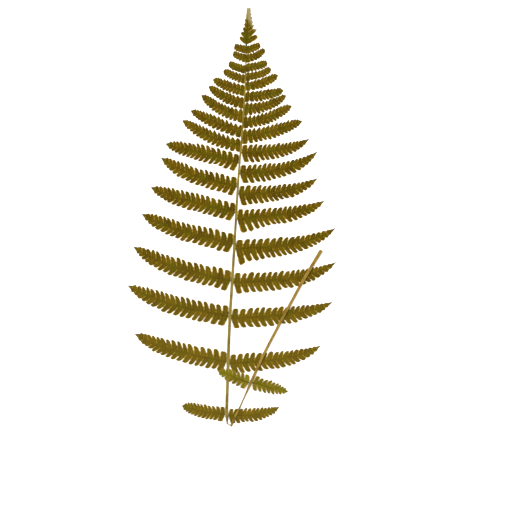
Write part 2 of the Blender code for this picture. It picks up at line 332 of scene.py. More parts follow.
@dataclass(frozen=True)
class LeafFinish:
    """Dry pressed leaf: mottled blade, pale seams between pinnules, fine side veins."""

    name: str
    dark: Colour = (0.047, 0.0265, 0.0001)
    gold: Colour = (0.100, 0.058, 0.0005)
    pale: Colour = (0.230, 0.165, 0.0180)
    green: Colour = (0.052, 0.059, 0.0001)
    rust: Colour = (0.096, 0.036, 0.0006)
    seam: Colour = (0.290, 0.198, 0.0250)
    margin: Colour = (0.400, 0.275, 0.0500)
    green_share: float = 0.55
    vein_spacing: float = 0.85     # between side veins, mm
    # Features per metre of the random patterns
    broad_scale: float = 38.0
    green_scale: float = 75.0
    worn_scale: float = 95.0
    spot_scale: float = 150.0
    patch_scale: float = 160.0
    mottle_scale: float = 480.0
    grain_scale: float = 1500.0
    relief_depth: float = 0.00012  # m
    bleach_from: float = 1.0       # height above which the blade turns pale, m
    bleach_side: float = 0.0       # middle of the blade there, m; the right side is paler
    bleached: Colour = (0.262, 0.212, 0.0950)

    def material(self) -> bpy.types.Material:
        """Write the material.

        Returns:
            The finished material.
        """
        paint = Painter(self.name)
        along, edge, tone = paint.attribute("leaf")
        out, beside, under = paint.attribute("spot")
        place = paint.place()
        broad = paint.noise(place, self.broad_scale, 2.0)
        mottle = paint.noise(paint.shifted(place, (3.1, 0.0, 1.0)), self.mottle_scale, 3.0, 0.65)
        grain = paint.noise(paint.shifted(place, (0.0, 2.2, 5.0)), self.grain_scale, 2.0)
        gold_share = (broad * 0.6 + mottle * 1.5 + tone * 0.45 - 0.82).rise(0.15, 0.85)
        colour = paint.mix(gold_share, self.dark, self.gold)

        greener = paint.noise(paint.shifted(place, (7.0, 7.0, 0.0)), self.green_scale, 3.0)
        near = along.rise(0.85, 0.10) * 0.75 + 0.25
        colour = paint.mix(greener.rise(0.48, 0.64) * near * self.green_share, colour, self.green)

        phase = (out - beside * 0.9) * (2.0 * math.pi / self.vein_spacing)
        ribs = phase.sine().rise(0.35, 1.0) * edge.rise(0.97, 0.75)
        midvein = edge.rise(0.16, 0.02) * along.rise(1.0, 0.6)
        colour = paint.mix(ribs * 0.22 + midvein * 0.20, colour, self.pale)
        dots = phase.sine().rise(0.2, -0.9) * edge.rise(0.25, 0.45) * edge.rise(0.70, 0.50)
        colour = paint.mix(dots * grain.rise(0.40, 0.62) * 0.6, colour, self.dark)

        worn = paint.noise(paint.shifted(place, (1.0, 9.0, 0.0)), self.worn_scale, 3.0)
        outer = edge.rise(0.60, 1.0).most(along.rise(0.70, 1.0))
        colour = paint.mix(worn.rise(0.52, 0.64) * outer * 0.75, colour, self.rust)
        spots = paint.cells(paint.shifted(place, (0.3, 0.1, 0.0)), self.spot_scale)
        spots = spots.rise(0.18, 0.08) * worn.rise(0.45, 0.55)
        colour = paint.mix(spots * 0.6, colour, self.rust)

        patch = paint.noise(paint.shifted(place, (4.0, 1.0, 2.0)), self.patch_scale, 3.0)
        seam = edge.rise(0.56, 0.76) * patch.rise(0.34, 0.54) * along.rise(0.06, 0.28)
        colour = paint.mix(seam * 0.80, colour, self.seam)
        rim = edge.rise(0.78, 0.94).most(along.rise(0.92, 1.0))
        colour = paint.mix(rim * (patch.rise(0.30, 0.60) * 0.5 + 0.45), colour, self.margin)
        colour = paint.mix(under * 0.45, colour, self.pale)
        x, y, _ = paint.split(place)
        colour = paint.mix(y.rise(0.04, -0.20) * 0.22, colour, self.pale)
        faded = y + (x - self.bleach_side) * 1.2 + worn * 0.006
        colour = paint.mix(faded.rise(self.bleach_from, self.bleach_from + 0.007), colour,
                           self.bleached)

        relief = ribs * 0.6 + mottle * 0.7 + grain * 0.35 - midvein * 0.5
        normal = paint.bump(relief, 0.55, self.relief_depth)
        rough = 0.66 + mottle * 0.22 - ribs * 0.06
        return paint.finish(colour, rough, normal, 0.01)


@dataclass(frozen=True)
class StemFinish:
    """Dry stem: long fibres, painted shade in the groove along its top, brown flecks."""

    name: str
    base: Colour
    light: Colour
    dark: Colour
    fleck: Colour
    green_from: float = 1.0        # height above which the stem is green, m
    green: Colour = (0.055, 0.050, 0.0010)
    fleck_share: float = 0.75
    # Features per metre of the random patterns
    patch_scale: float = 85.0
    fleck_scale: float = 520.0
    relief_depth: float = 0.0002   # m

    def material(self) -> bpy.types.Material:
        """Write the material.

        Returns:
            The finished material.
        """
        paint = Painter(self.name)
        turn, length, _ = paint.attribute("stem")
        place = paint.place()
        strand = paint.join(turn * 9.0, length * 0.05, 0.0)
        fibres = paint.noise(strand, 3.0, 3.0, 0.6)
        patches = paint.noise(place, self.patch_scale, 3.0)
        colour = paint.mix(fibres.rise(0.30, 0.70), self.base, self.light)
        colour = paint.mix(patches.rise(0.46, 0.66) * 0.75, colour, self.dark)
        # Painted shade: the sunken groove along the top of the stem is darkened as if shade lay in
        # it.
        groove = (turn - 0.25).abs().rise(0.07, 0.015)
        colour = paint.mix(groove * 0.45, colour, self.dark)
        drawn_out = paint.shifted(place, (2.0, 5.0, 1.0), (1.0, 0.35, 1.0))
        flecks = paint.noise(drawn_out, self.fleck_scale, 2.0)
        colour = paint.mix(flecks.rise(0.58, 0.70) * self.fleck_share, colour, self.fleck)
        height = paint.split(place)[1]
        greener = height.rise(self.green_from, self.green_from + 0.014)
        colour = paint.mix(greener, colour, self.green)
        relief = fibres * 0.8 + flecks * 0.3
        normal = paint.bump(relief, 0.6, self.relief_depth)
        return paint.finish(colour, 0.58 + fibres * 0.2, normal, 0.03)


@dataclass(frozen=True)
class CutFinish:
    """Cut face of a stem: pale pith with darker bundles."""

    name: str
    pith: Colour = (0.560, 0.430, 0.200)
    bundle: Colour = (0.160, 0.075, 0.020)
    bundle_scale: float = 900.0    # features per metre
    grain_scale: float = 2500.0
    relief_depth: float = 0.0002   # m

    def material(self) -> bpy.types.Material:
        """Write the material.

        Returns:
            The finished material.
        """
        paint = Painter(self.name)
        place = paint.place()
        bundles = paint.cells(place, self.bundle_scale)
        grain = paint.noise(place, self.grain_scale, 2.0)
        colour = paint.mix(bundles.rise(0.34, 0.18) * 0.8, self.pith, self.bundle)
        colour = paint.mix(grain.rise(0.5, 0.8) * 0.4, colour, self.bundle)
        normal = paint.bump(bundles + grain * 0.5, 0.5, self.relief_depth)
        return paint.finish(colour, 0.85, normal, 0.2)


@dataclass(frozen=True)
class FloorFinish:
    """Pale matt floor, lit faintly from within like a light table."""

    name: str = "pale_floor"
    tone: Colour = (0.900, 0.898, 0.890)
    shade: Colour = (0.870, 0.868, 0.858)
    glow: float = 0.30

    def material(self) -> bpy.types.Material:
        """Write the material.

        Returns:
            The finished material.
        """
        paint = Painter(self.name)
        cloud = paint.noise(paint.place(), 3.0, 2.0)
        colour = paint.mix(cloud.rise(0.35, 0.65), self.tone, self.shade)
        paint.feed(paint.shader.inputs["Emission Color"], colour)
        paint.shader.inputs["Emission Strength"].default_value = self.glow
        return paint.finish(colour, 0.95, None, 0.0)


# ---------------------------------------------------------------- meshes


class MeshStock:
    """Vertices, faces, finishes and shading numbers that become one piece."""

    def __init__(self) -> None:
        """Start empty."""
        self.points: list[np.ndarray] = []
        self.faces: list[tuple[int, ...]] = []
        self.finishes: list[int] = []
        self.numbers: dict[str, list[np.ndarray]] = {"leaf": [], "spot": [], "stem": []}
        self.count = 0

    def add(self, points: np.ndarray, faces: list[tuple[int, ...]], finish: int,
            **numbers: np.ndarray) -> None:
        """Add a body.

        Args:
            points: Places of its vertices in millimetres.
            faces: Its faces by vertex number, counted from its own first vertex.
            finish: Which of the piece's finishes it has.
            **numbers: Shading numbers of its vertices, three for each.
        """
        self.points.append(np.asarray(points, float))
        self.faces += [tuple(self.count + corner for corner in face) for face in faces]
        self.finishes += [finish] * len(faces)
        for name, kept in self.numbers.items():
            kept.append(np.asarray(numbers.get(name, np.zeros((len(points), 3))), float))
        self.count += len(points)

    def piece(self, name: str, layout: "Layout",
              finishes: list[bpy.types.Material]) -> bpy.types.Object:
        """Make the object in the model's frame.

        Args:
            name: Name of the piece.
            layout: Where the foot of the midrib lies in the model's frame.
            finishes: Materials that the bodies' finish numbers stand for.

        Returns:
            The new object, linked to the scene.
        """
        places = layout.place(np.concatenate(self.points))
        mesh = bpy.data.meshes.new(name)
        mesh.from_pydata(places.tolist(), [], self.faces)
        for finish in finishes:
            mesh.materials.append(finish)
        mesh.polygons.foreach_set("material_index", self.finishes)
        for kind, kept in self.numbers.items():
            values = np.concatenate(kept)
            if values.any():
                data = mesh.attributes.new(kind, "FLOAT_VECTOR", "POINT")
                data.data.foreach_set("vector", values.astype(np.float32).ravel())
        mesh.validate()
        mesh.shade_smooth()
        mesh.set_sharp_from_angle(angle=SHARP_ANGLE)
        piece = bpy.data.objects.new(name, mesh)
        bpy.context.scene.collection.objects.link(piece)
        return piece


def thicken(points: np.ndarray, faces: list[tuple[int, ...]], thickness: float,
            numbers: dict[str, np.ndarray]) -> tuple[np.ndarray, list, dict[str, np.ndarray]]:
    """Close a sheet by a second layer below it and a rim.

    Args:
        points: Places of the sheet's vertices.
        faces: The sheet's faces, which look up.
        thickness: Distance down to the second layer.
        numbers: Shading numbers of the sheet; the third of "spot" marks the lower layer.

    Returns:
        Points, faces and shading numbers of the closed body.
    """
    count = len(points)
    lower = points.copy()
    lower[:, 2] -= thickness
    used: dict[tuple[int, int], int] = {}
    for face in faces:
        for start, end in zip(face, face[1:] + face[:1]):
            used[(start, end)] = 1
    rim = [edge for edge in used if (edge[1], edge[0]) not in used]
    closed = list(faces)
    closed += [tuple(count + corner for corner in reversed(face)) for face in faces]
    closed += [(end, start, count + start, count + end) for start, end in rim]
    doubled = {name: np.concatenate([values, values]) for name, values in numbers.items()}
    doubled["spot"][count:, 2] = 1.0
    return np.concatenate([points, lower]), closed, doubled


@dataclass(frozen=True)
class StemSection:
    """Cross-section of a stem: an oval with a groove along the top and fine ribs."""

    corners: int = 22
    flatness: float = 0.86
    groove_depth: float = 0.24
    groove_width: float = 0.34     # radians
    ribs: int = 7
    rib_height: float = 0.035

    def ring(self) -> tuple[np.ndarray, np.ndarray]:
        """Corners of the section for a half width of 1.

        Returns:
            Turns from 0 to 1 and the (side, up) places of the corners.
        """
        turns = (np.arange(self.corners) + 0.5) / self.corners
        angles = 2 * np.pi * turns
        off_top = np.angle(np.exp(1j * (angles - np.pi / 2)))
        radius = 1 - self.groove_depth * np.exp(-(off_top / self.groove_width) ** 2)
        radius += self.rib_height * np.cos(self.ribs * angles)
        places = np.stack([radius * np.cos(angles), radius * self.flatness * np.sin(angles)], 1)
        return turns, places


def tube_faces(rings: int, corners: int) -> list[tuple[int, ...]]:
    """Faces between rings of corners that follow each other, looking outwards.

    Args:
        rings: How many rings there are.
        corners: Corners of each ring.

    Returns:
        The faces by vertex number.
    """
    faces = []
    for low in range(0, (rings - 1) * corners, corners):
        high = low + corners
        for corner in range(corners):
            after = (corner + 1) % corners
            faces.append((low + corner, high + corner, high + after, low + after))
    return faces


def end_face(rings: int, corners: int) -> tuple[int, ...]:
    """The face that closes the last of the rings."""
    last = (rings - 1) * corners
    return tuple(last + corner for corner in reversed(range(corners)))


def sweep(stock: MeshStock, path: np.ndarray, halves: np.ndarray, section: StemSection,
          finish: int, cut_finish: int = -1) -> None:
    """Add a closed stem along a path.

    Args:
        stock: Where the body goes.
        path: Middle line in millimetres.
        halves: Half width at each point of the path.
        section: Cross-section.
        finish: Finish number of the sides.
        cut_finish: Finish number of the far end, or -1 for the same finish.
    """
    ahead = np.gradient(path, axis=0)
    ahead /= np.linalg.norm(ahead, axis=1)[:, None]
    side = np.cross(ahead, (0.0, 0.0, 1.0))
    side /= np.linalg.norm(side, axis=1)[:, None]
    up = np.cross(side, ahead)
    turns, ring = section.ring()
    rings, corners = len(path), section.corners
    spokes = ring[None, :, 0, None] * side[:, None] + ring[None, :, 1, None] * up[:, None]
    points = path[:, None] + spokes * halves[:, None, None]
    lengths = np.r_[0.0, np.cumsum(np.linalg.norm(np.diff(path, axis=0), axis=1))]
    numbers = np.zeros((rings, corners, 3))
    numbers[..., 0] = turns
    numbers[..., 1] = lengths[:, None]
    faces = tube_faces(rings, corners) + [tuple(range(corners))]
    if cut_finish < 0:
        faces.append(end_face(rings, corners))
    stock.add(points.reshape(-1, 3), faces, finish, stem=numbers.reshape(-1, 3))
    if cut_finish >= 0:
        cut_rings = [path[-1] + spokes[-1] * halves[-1] * share + ahead[-1] * deep * halves[-1]
                     for share, deep in CUT_LEVELS]
        cut_faces = tube_faces(len(CUT_LEVELS), corners) + [end_face(len(CUT_LEVELS), corners)]
        stock.add(np.concatenate(cut_rings), cut_faces, cut_finish)


def smooth_path(points: tuple[tuple[float, ...], ...], steps: int) -> np.ndarray:
    """Points on a smooth curve through the given ones.

    Args:
        points: Rows of numbers, the first ones being a place.
        steps: Curve points for each given point.

    Returns:
        The curve as an array with the same columns.
    """
    rows = [np.array(p, float) for p in points]
    rows = [2 * rows[0] - rows[1]] + rows + [2 * rows[-1] - rows[-2]]
    path = []
    for a, b, c, d in zip(rows, rows[1:], rows[2:], rows[3:]):
        for step in range(steps):
            t = step / steps
            path.append(0.5 * (2 * b + (c - a) * t + (2 * a - 5 * b + 4 * c - d) * t ** 2
                               + (3 * b - a - 3 * c + d) * t ** 3))
    path.append(rows[-2])
    return np.array(path)


# ---------------------------------------------------------------- layout of the frond


@dataclass(frozen=True)
class Layout:
    """Where things are on the frond, and where its midrib's foot is in the model's frame."""

    # Midrib: x, y, half width, from the pointed foot to the start of the tip
    midrib: tuple[tuple[float, float, float], ...] = (
        (0, 0, 0.4), (0, 4, 1.0), (-0.5, 9, 1.6), (-1, 20, 1.5), (-1.5, 75, 1.5),
        (-1.5, 105, 1.45), (-0.5, 150, 1.4), (0.5, 200, 1.2), (1.5, 250, 1.0), (3.5, 295, 0.85),
        (4.5, 340, 0.65), (4, 380, 0.55),
    )
    flatness: float = 0.86
    # Folded stalk: x, y, height of its underside, half width, from the break to the cut end
    stalk: tuple[tuple[float, float, float, float], ...] = (
        (4, -1.5, 0.5, 1.0), (6, 4, 1.4, 1.2), (8, 9, 2.0, 1.05), (12, 18, 2.3, 0.8),
        (16, 28, 2.5, 0.7), (22, 43, 2.6, 1.3), (33, 70, 2.7, 1.35), (46, 98, 2.7, 1.4),
        (67, 141, 2.7, 1.5), (76, 158, 2.7, 1.6), (87, 178, 2.7, 1.8),
    )
    stalk_flatness: float = 0.82
    # Pinnae, lowest first: height of the foot on the midrib, x and y of the tip, and how far
    # the middle of the costa is bowed upwards
    left_rows: tuple[tuple[float, float, float, float], ...] = (
        (10, -46, 17, 0), (63, -96, 87, 0), (108, -105, 135, 0), (144, -101, 174, 0),
        (181, -94, 207, 1), (212, -86, 234, 2), (238, -77, 264, 0), (262, -73, 278, 3),
        (280, -57, 302, -2), (292, -49, 312, 1), (309, -39, 328, -2), (322, -32, 337, -1),
        (334, -28, 344, 0), (346, -18, 353, 0), (355, -13, 361, 0), (367, -9, 371, 0),
        (375, -8, 378, 0),
    )
    right_rows: tuple[tuple[float, float, float, float], ...] = (
        (9, 52, 20, 0), (61, 91, 83, 1), (106, 101, 127, 1), (142, 103, 167, 0),
        (176, 101, 201, 0), (206, 89, 228, 1), (231, 81, 250, -1), (251, 80, 277, 0),
        (272, 71, 289, 0), (289, 63, 306, 0), (302, 52, 321, 0), (316, 46, 331, -1),
        (329, 43, 336, -1), (339, 37, 351, 0), (348, 30, 357, 0), (357, 26, 363, 0),
        (367, 23, 376, 0), (375, 18, 381, 0),
    )
    tip_foot: tuple[float, float] = (4.0, 380.3)
    tip_point: tuple[float, float] = (4.5, 417.0)
    solid_sides: int = 8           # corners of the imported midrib's cross-section
    costa_level: float = 0.35      # height of a costa's foot, as a share of the midrib's

    def midrib_path(self, steps: int = 3) -> np.ndarray:
        """Smooth x, y and half width along the midrib."""
        return smooth_path(self.midrib, steps)

    def midrib_at(self, height: Any) -> tuple[Any, Any]:
        """Middle and half width of the midrib at a height.

        Args:
            height: Height or heights above the midrib's foot.

        Returns:
            The x of the middle and the half width.
        """
        path = self.midrib_path()
        return np.interp(height, path[:, 1], path[:, 0]), np.interp(height, path[:, 1], path[:, 2])

    def costa_height(self, half: Any) -> Any:
        """Height at which a costa leaves a midrib of that half width."""
        return 2 * half * self.flatness * self.costa_level

    def foot(self) -> np.ndarray:
        """The midrib's foot in the model's frame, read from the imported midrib's box.

        Returns:
            The place in metres.
        """
        low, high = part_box("midrib")
        path = self.midrib_path()
        widest = (path[:, 0] + path[:, 2] * math.cos(math.pi / self.solid_sides)).max()
        return np.array([high.x - widest * MM, high.y - path[-1, 1] * MM, low.z])

    def place(self, points: np.ndarray) -> np.ndarray:
        """Millimetres from the midrib's foot to metres in the model's frame."""
        return points * MM + self.foot()


@dataclass(frozen=True)
class Costa:
    """Middle line of a pinna, nearly straight at first and curving up to its tip."""

    foot: Place
    tip: Place
    start_slope: float = 1.0
    curl: float = 4.0
    bow: float = 0.0               # lift of its middle in plan
    arch: float = 0.0              # lift of its middle off the floor
    fall_power: float = 1.5        # how late it comes down to the floor
    arch_lean: float = 0.8         # under 1 puts the arch nearer the foot
    probe: float = 0.01            # share over which its direction is taken

    def points(self, shares: Any) -> np.ndarray:
        """Places at shares of the way from foot to tip.

        Args:
            shares: Shares of the way; under 0 is before the foot.

        Returns:
            The places in millimetres.
        """
        shares = np.asarray(shares, float)
        held = np.clip(shares, 0.0, 1.0)
        run, rise, fall = np.subtract(self.tip, self.foot)
        bend = self.start_slope * shares + (1 - self.start_slope) * held ** self.curl
        across, up = (shares, bend) if abs(run) >= abs(rise) else (bend, shares)
        beside = self.foot[1] + rise * up + self.bow * np.sin(np.pi * held)
        height = self.foot[2] + fall * held ** self.fall_power
        height = height + self.arch * np.sin(np.pi * held ** self.arch_lean)
        return np.stack([self.foot[0] + run * across, beside, height], -1)

    def ahead(self, shares: Any) -> np.ndarray:
        """Unit directions of the costa in plan.

        Args:
            shares: Shares of the way from foot to tip.

        Returns:
            The directions.
        """
        shares = np.asarray(shares, float)
        step = self.points(np.minimum(shares + self.probe, 1.0)) - self.points(shares - self.probe)
        step[..., 2] = 0.0
        return step / np.linalg.norm(step, axis=-1)[..., None]

    @property
    def length(self) -> float:
        """Straight distance from foot to tip in plan."""
        return math.dist(self.foot[:2], self.tip[:2])


@dataclass(frozen=True)
class Outline:
    """How wide one side of a pinna is along its costa, over its half width."""

    width: float = 1.0
    narrowing: float = 0.0         # share lost evenly from foot to tip
    closing: float = 2.4           # the higher, the later the side closes
    end: float = 0.8

    def at(self, shares: np.ndarray) -> np.ndarray:
        """Widths at shares of the costa.

        Args:
            shares: Shares of the way along the costa.

        Returns:
            The widths.
        """
        held = np.clip(shares, 0.0, 1.0)
        return self.width * (1 - self.narrowing * held) * (1 - held ** self.closing) ** self.end


@dataclass(frozen=True)
class PinnuleShape:
    """How the pinnules on one side of a pinna are cut and how they lie."""

    web_rows: int = 3              # grid rows from the costa to the notches
    free_rows: int = 9             # grid rows from the notches to the ends
    columns: tuple[float, ...] = (-1.0, -0.78, -0.45, -0.13, 0.0, 0.13, 0.45, 0.78, 1.0)
    row_power: float = 1.5         # over 1 crowds the free rows towards the ends
    slit: float = 0.06             # share of the width lost just beyond the notches
    slit_onset: float = 0.12       # share of the free length over which it is lost
    opening: float = 0.22          # share lost further out, where the slits open
    opening_power: float = 1.2
    round_from: float = 0.45       # where the end starts to round off
    round_power: float = 2.2
    blunt_end: float = 0.18        # width left at the very end
    teeth: float = 3.0             # scallops along a margin
    tooth_depth: float = 0.035
    slant_foot: float = 72.0       # degrees between costa and pinnule
    slant_tip: float = 56.0
    foot_turn: float = 14.0        # degrees by which the first pinnules stand up more
    foot_fade: float = 0.05        # share of the costa over which that fades
    sweep_share: float = 0.35      # share of the lean that comes in the outer part
    web_foot: float = 0.27
    web_tip: float = 0.92
    web_power: float = 2.2
    dome: float = 0.22             # lift between midvein and margin, mm
    dome_ends: float = 0.4         # share of it that is left at the costa and at the ends
    dome_reach: float = 1.15       # over 1 ends the dome before the pinnule does
    groove: float = 0.14           # depth over the midvein, mm
    groove_width: float = 0.14     # share of the half width
    edge_curl: float = 0.12        # how far the margins bend down, mm
    curl_from: float = 0.6         # share of the half width where they start to
    curl_foot: float = 0.3         # share of the bend at the notches
    droop: float = 0.45            # how far the ends hang below the costa, mm
    droop_reach: float = 10.4      # length of a pinnule that droops that far, mm
    tilt: float = 0.16             # how far a pinnule may roll about its midvein, mm
    end_curl: float = 0.25         # how far its end may bend, mm
    level: float = 0.06            # how far it may lie above or below the next one, mm
    full_reach: float = 9.0        # shorter pinnules have less relief, mm
    rim_foot: float = 0.80         # share of the pale rim that shows at the notches
    rim_rise: float = 8.0          # how fast the rest of it appears beyond them


@dataclass(frozen=True)
class Variety:
    """Ranges of the small differences between single pinnules."""

    pitch: tuple[float, float] = (0.87, 1.13)
    notch: tuple[float, float] = (0.84, 1.10)
    length: tuple[float, float] = (-0.09, 0.05)
    lean: tuple[float, float] = (-0.10, 0.10)
    roll: tuple[float, float] = (-1.0, 1.0)
    curl: tuple[float, float] = (-0.5, 1.0)
    width: tuple[float, float] = (0.94, 1.03)
    width_onset: float = 0.14      # share of the free length over which the width changes
    tone: tuple[float, float] = (0.0, 1.0)
    shift: tuple[float, float] = (-1.0, 1.0)


@dataclass(frozen=True)
class EndLobe:
    """The simple lobe beyond the last pinnules of a pinna."""

    columns: int = 8
    wave: float = 0.10             # depth of the scallops, as a share of the width
    waves: float = 3.0
    lean_power: float = 0.5        # how late the lean fades towards the point
    edge: float = 0.7              # shading numbers: nearness to the margin,
    along_foot: float = 0.3        # place along a pinnule at its start
    along_more: float = 0.5        # and how much that grows towards the point
    vein_run: float = 3.0          # mm by which the side veins shift along it


@dataclass(frozen=True)
class RidgeShape:
    """The costa as it stands out of a pinna, in shares of its length or in millimetres."""

    section: StemSection = StemSection(corners=10, flatness=0.7, groove_depth=0.2, ribs=3)
    ring_step: float = 2.2
    fewest_rings: int = 8
    inside: float = 1.3            # how far it starts inside the midrib's flank
    end: float = 0.97
    taper: float = 0.78            # share of the width lost at the end
    foot_swell: float = 0.7        # share of the width gained at the foot
    swell_length: float = 2.0
    sink: float = 0.12             # how far its end sinks into the blade
    clearance: float = 0.02        # between its underside and the floor


@dataclass
class Pinna:
    """One divided leaflet: a costa with rows of pinnules joined by a web at their feet."""

    name: str
    costa: Costa
    sign: int
    half_width: float
    pitch: float
    seed: int
    slot: Slot
    shapes: dict[bool, PinnuleShape]       # of the upper side (True) and the lower side
    outlines: dict[bool, Outline]
    basal_extra: float = 0.0
    last_bound: float = 0.90
    costa_width: float = 0.5
    thickness: float = 0.25
    basal_fade: float = 0.16       # share of the costa over which the basal extra fades
    room: float = 0.495            # share of the way to a neighbour's costa that it may fill
    first_bound: float = 0.2       # where the first pinnule starts, mm from the foot
    pitch_loss: float = 0.33       # share of the pitch lost at the tip
    pitch_loss_power: float = 1.5
    clearance: float = 0.03        # between the blade's underside and the floor, mm
    variety: Variety = Variety()
    lobe: EndLobe = EndLobe()
    ridge_shape: RidgeShape = RidgeShape()
    reach_law: Union[Callable[[np.ndarray, bool], np.ndarray], None] = None
    above: Union["Pinna", None] = None
    below: Union["Pinna", None] = None

    def space_to(self, other: "Pinna", shares: np.ndarray) -> np.ndarray:
        """Room in plan between this costa and a neighbour's.

        Args:
            other: The neighbour.
            shares: Shares of the way along this costa.

        Returns:
            The distances in millimetres.
        """
        here = self.costa.points(shares)
        run = other.costa.tip[0] - other.costa.foot[0]
        there = other.costa.points(np.clip((here[..., 0] - other.costa.foot[0]) / run, 0.0, 1.0))
        lean = np.abs(self.costa.ahead(shares)[..., 0])
        return np.abs(there[..., 1] - here[..., 1]) * lean

    def reach(self, shares: np.ndarray, upper: bool) -> np.ndarray:
        """Distance from the costa to the pinnules' ends.

        Args:
            shares: Shares of the way along the costa.
            upper: Whether the side towards the frond's tip is meant.

        Returns:
            The distances in millimetres.
        """
        if self.reach_law is not None:
            return self.reach_law(shares, upper)
        full = self.half_width * self.outlines[upper].at(shares)
        if not upper:
            fade = np.exp(-np.maximum(shares, 0.0) / self.basal_fade)
            full = full * (1 + self.basal_extra * fade)
        other = self.above if upper else self.below
        if other is not None:
            full = np.minimum(full, self.room * self.space_to(other, shares))
        return full

    def bounds(self, draw: random.Random) -> np.ndarray:
        """Shares of the costa at which one pinnule ends and the next one starts.

        Args:
            draw: Source of the small differences between pinnules.

        Returns:
            The shares, from the foot on.
        """
        length = self.costa.length
        shares = [self.first_bound / length]
        while shares[-1] < self.last_bound:
            room = self.pitch * (1 - self.pitch_loss * shares[-1] ** self.pitch_loss_power)
            shares.append(shares[-1] + room * draw.uniform(*self.variety.pitch) / length)
        return np.array(shares) * self.last_bound / shares[-1]

    def spread(self, shares: np.ndarray, out: np.ndarray, bent: np.ndarray,
               upper: bool) -> tuple[np.ndarray, np.ndarray]:
        """Places beside the costa.

        Args:
            shares: Shares of the way along the costa.
            out: Share of the reach away from the costa.
            bent: Share of the pinnule's full lean towards the tip.
            upper: Whether the side towards the frond's tip is meant.

        Returns:
            The places at the costa's height, and the distances from the costa.
        """
        shape = self.shapes[upper]
        reach = self.reach(shares, upper)
        slant = shape.slant_foot + (shape.slant_tip - shape.slant_foot) * shares
        slant = slant + shape.foot_turn * np.exp(-np.maximum(shares, 0.0) / shape.foot_fade)
        outward = reach * out
        forward = reach / np.tan(np.radians(slant)) * bent
        ahead = self.costa.ahead(shares)
        sign = self.sign if upper else -self.sign
        across = np.stack([-ahead[..., 1], ahead[..., 0], np.zeros_like(shares)], -1) * sign
        place = self.costa.points(shares) + ahead * forward[..., None] + across * outward[..., None]
        return place, outward

    def grid(self, upper: bool, bounds: np.ndarray, draw: random.Random) -> dict[str, np.ndarray]:
        """Places and shading numbers of every pinnule's grid on one side.

        Args:
            upper: Whether the side towards the frond's tip is meant.
            bounds: Shares of the costa between pinnules.
            draw: Source of the small differences between pinnules.

        Returns:
            Arrays by pinnule, row and column: "place", "leaf" and "spot".
        """
        shape, variety = self.shapes[upper], self.variety
        count = len(bounds) - 1
        columns = np.array(shape.columns)
        forward_share = (columns + 1) / 2
        base = bounds[:-1, None] + np.diff(bounds)[:, None] * forward_share
        centre = 0.5 * (bounds[:-1] + bounds[1:])[:, None, None]

        notch = shape.web_foot + (shape.web_tip - shape.web_foot) * bounds ** shape.web_power
        notch[:-1] *= np.array([draw.uniform(*variety.notch) for _ in bounds[:-1]])
        notch = notch[:-1, None] + np.diff(notch)[:, None] * forward_share
        rows = np.arange(shape.web_rows + shape.free_rows + 1)
        web = np.minimum(rows / shape.web_rows, 1.0)[None, :, None]
        free = np.clip((rows - shape.web_rows) / shape.free_rows, 0.0, 1.0)
        free = (1 - (1 - free) ** shape.row_power)[None, :, None]
        out = notch[:, None] * web + (1 - notch[:, None]) * free

        def each(limits: tuple[float, float]) -> np.ndarray:
            """One random number for each pinnule."""
            return np.array([draw.uniform(*limits) for _ in range(count)])[:, None, None]

        longer, lean, roll = each(variety.length), each(variety.lean), each(variety.roll)
        curl, narrow = each(variety.curl), each(variety.width)
        tone, shift = each(variety.tone), each(variety.shift)
        ends = np.clip((free - shape.round_from) / (1 - shape.round_from), 0.0, 1.0)
        width = 1 - shape.slit * np.minimum(1.0, free / shape.slit_onset)
        width = width - shape.opening * free ** shape.opening_power
        width = width * (1 + (narrow - 1) * np.minimum(1.0, free / variety.width_onset))
        width = width * (1 - shape.tooth_depth * np.sin(free * np.pi * shape.teeth) ** 2)
        width = width * np.maximum((1 - ends ** shape.round_power) ** (1 / shape.round_power),
                                   shape.blunt_end)
        share = centre + (base[:, None] - centre) * width

        bent = (1 - shape.sweep_share) * out + shape.sweep_share * out ** 2 + lean * free ** 2
        root = np.broadcast_to(base[:, None], out.shape)
        place, outward = self.spread(root, out * (1 + longer * free), bent, upper)
        place = place + self.costa.points(share) - self.costa.points(root)

        size = self.reach(root, upper) / shape.full_reach
        edge = np.abs(columns)[None, None]
        rib = np.sin(np.pi * np.minimum(out * shape.dome_reach, 1.0)) * (1 - shape.dome_ends)
        lift = shape.dome * 4 * edge * (1 - edge) * (rib + shape.dome_ends)
        groove = np.exp(-(columns / shape.groove_width) ** 2)[None, None]
        lift = lift - shape.groove * groove * (1 - out)
        past = np.maximum(0.0, edge - shape.curl_from) / (1 - shape.curl_from)
        lift = lift - shape.edge_curl * past * (shape.curl_foot + free)
        lift = lift + shape.tilt * roll * columns * free
        lift = lift - shape.end_curl * curl * free ** 2 + shape.level * shift * free
        height = place[..., 2] + self.thickness + lift * np.minimum(size, 1.0)
        place[..., 2] = self.hung(height, outward, shape)

        rim = (1 - shape.rim_foot) * np.minimum(free * shape.rim_rise, 1.0)
        margin = edge * (shape.rim_foot + rim)
        leaf = np.stack(np.broadcast_arrays(out, margin, tone), -1)
        spot = np.stack(np.broadcast_arrays(outward, edge * self.pitch / 2, 0.0), -1)
        return {"place": place, "leaf": leaf, "spot": spot.copy()}

    def hung(self, height: np.ndarray, outward: np.ndarray, shape: PinnuleShape) -> np.ndarray:
        """Heights of the upper layer after the droop, with the lower layer kept off the floor.

        Args:
            height: Heights without the droop.
            outward: Distances from the costa.
            shape: Shape that holds the droop.

        Returns:
            The heights in millimetres.
        """
        drooped = height - shape.droop * outward / shape.droop_reach
        return np.maximum(drooped, self.thickness + self.clearance)

